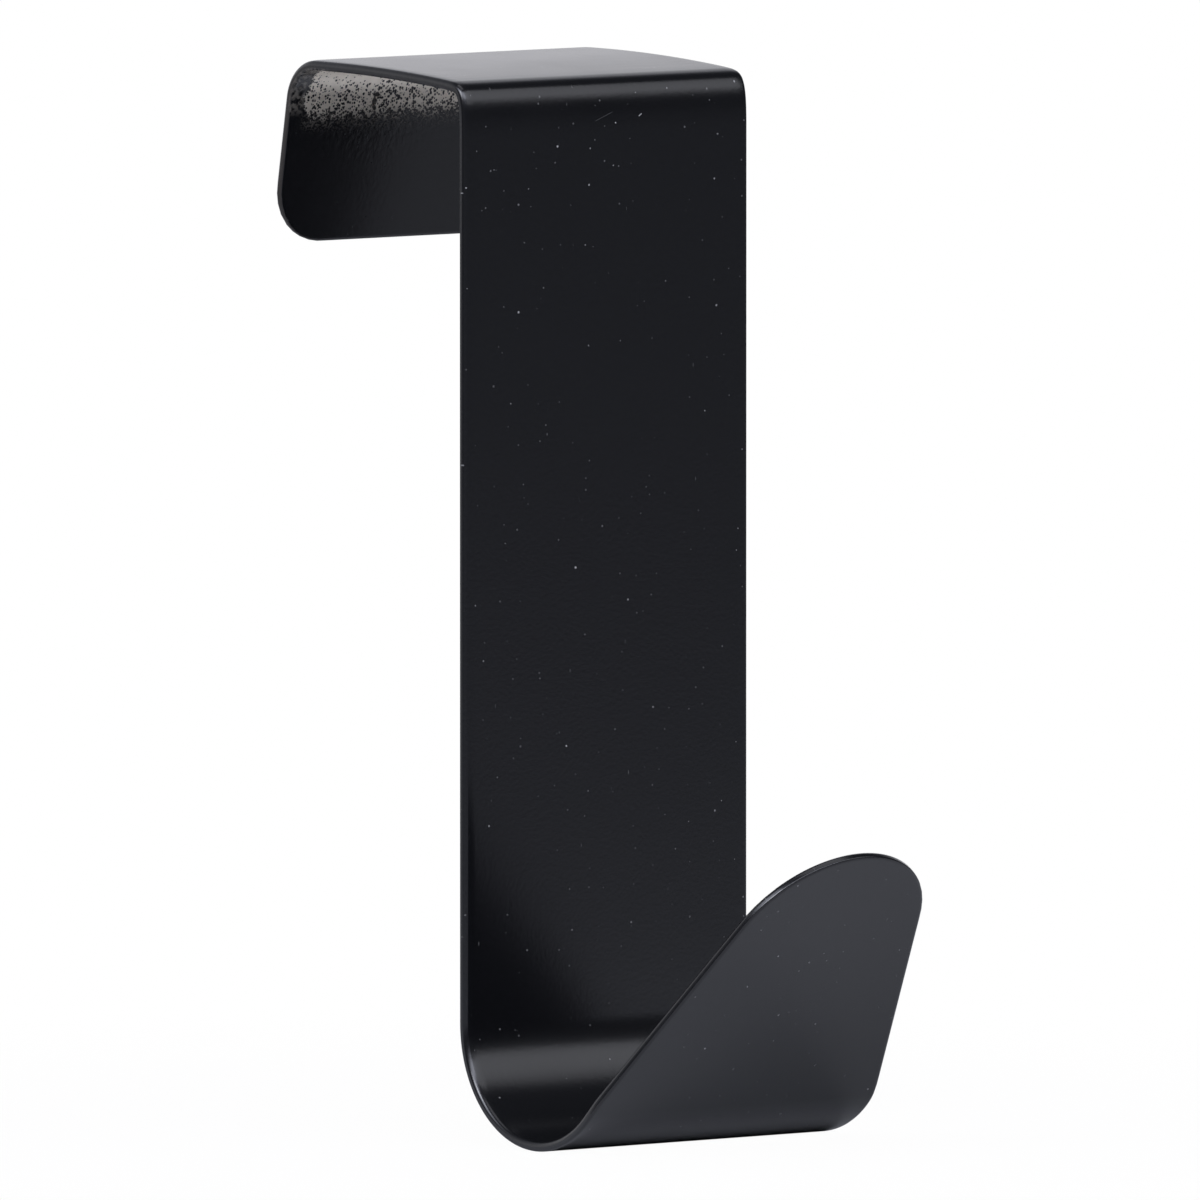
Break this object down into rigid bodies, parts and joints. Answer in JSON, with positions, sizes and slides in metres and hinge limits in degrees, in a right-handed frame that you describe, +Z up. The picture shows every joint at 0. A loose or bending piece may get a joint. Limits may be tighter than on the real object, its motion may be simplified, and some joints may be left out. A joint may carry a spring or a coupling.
{
  "type": "over door hook",
  "caption": "Over-door hook folded from a flat strip of black coated sheet steel: short leaf behind the door, long front leaf and a wide upturned tongue to hang things on.",
  "frame": {"origin": "middle of the web's underside, which lies on the top edge of the door", "axes": "+X across the strip, +Y from the front of the door to its back, +Z up along the front leaf"},
  "size_m": [0.05, 0.1004, 0.1477],
  "materials": {
    "black_coat": "satin black powder coat on sheet steel"
  },
  "bodies": {
    "root": {"over_door_hook": "black_coat"}
  },
  "joints": []
}
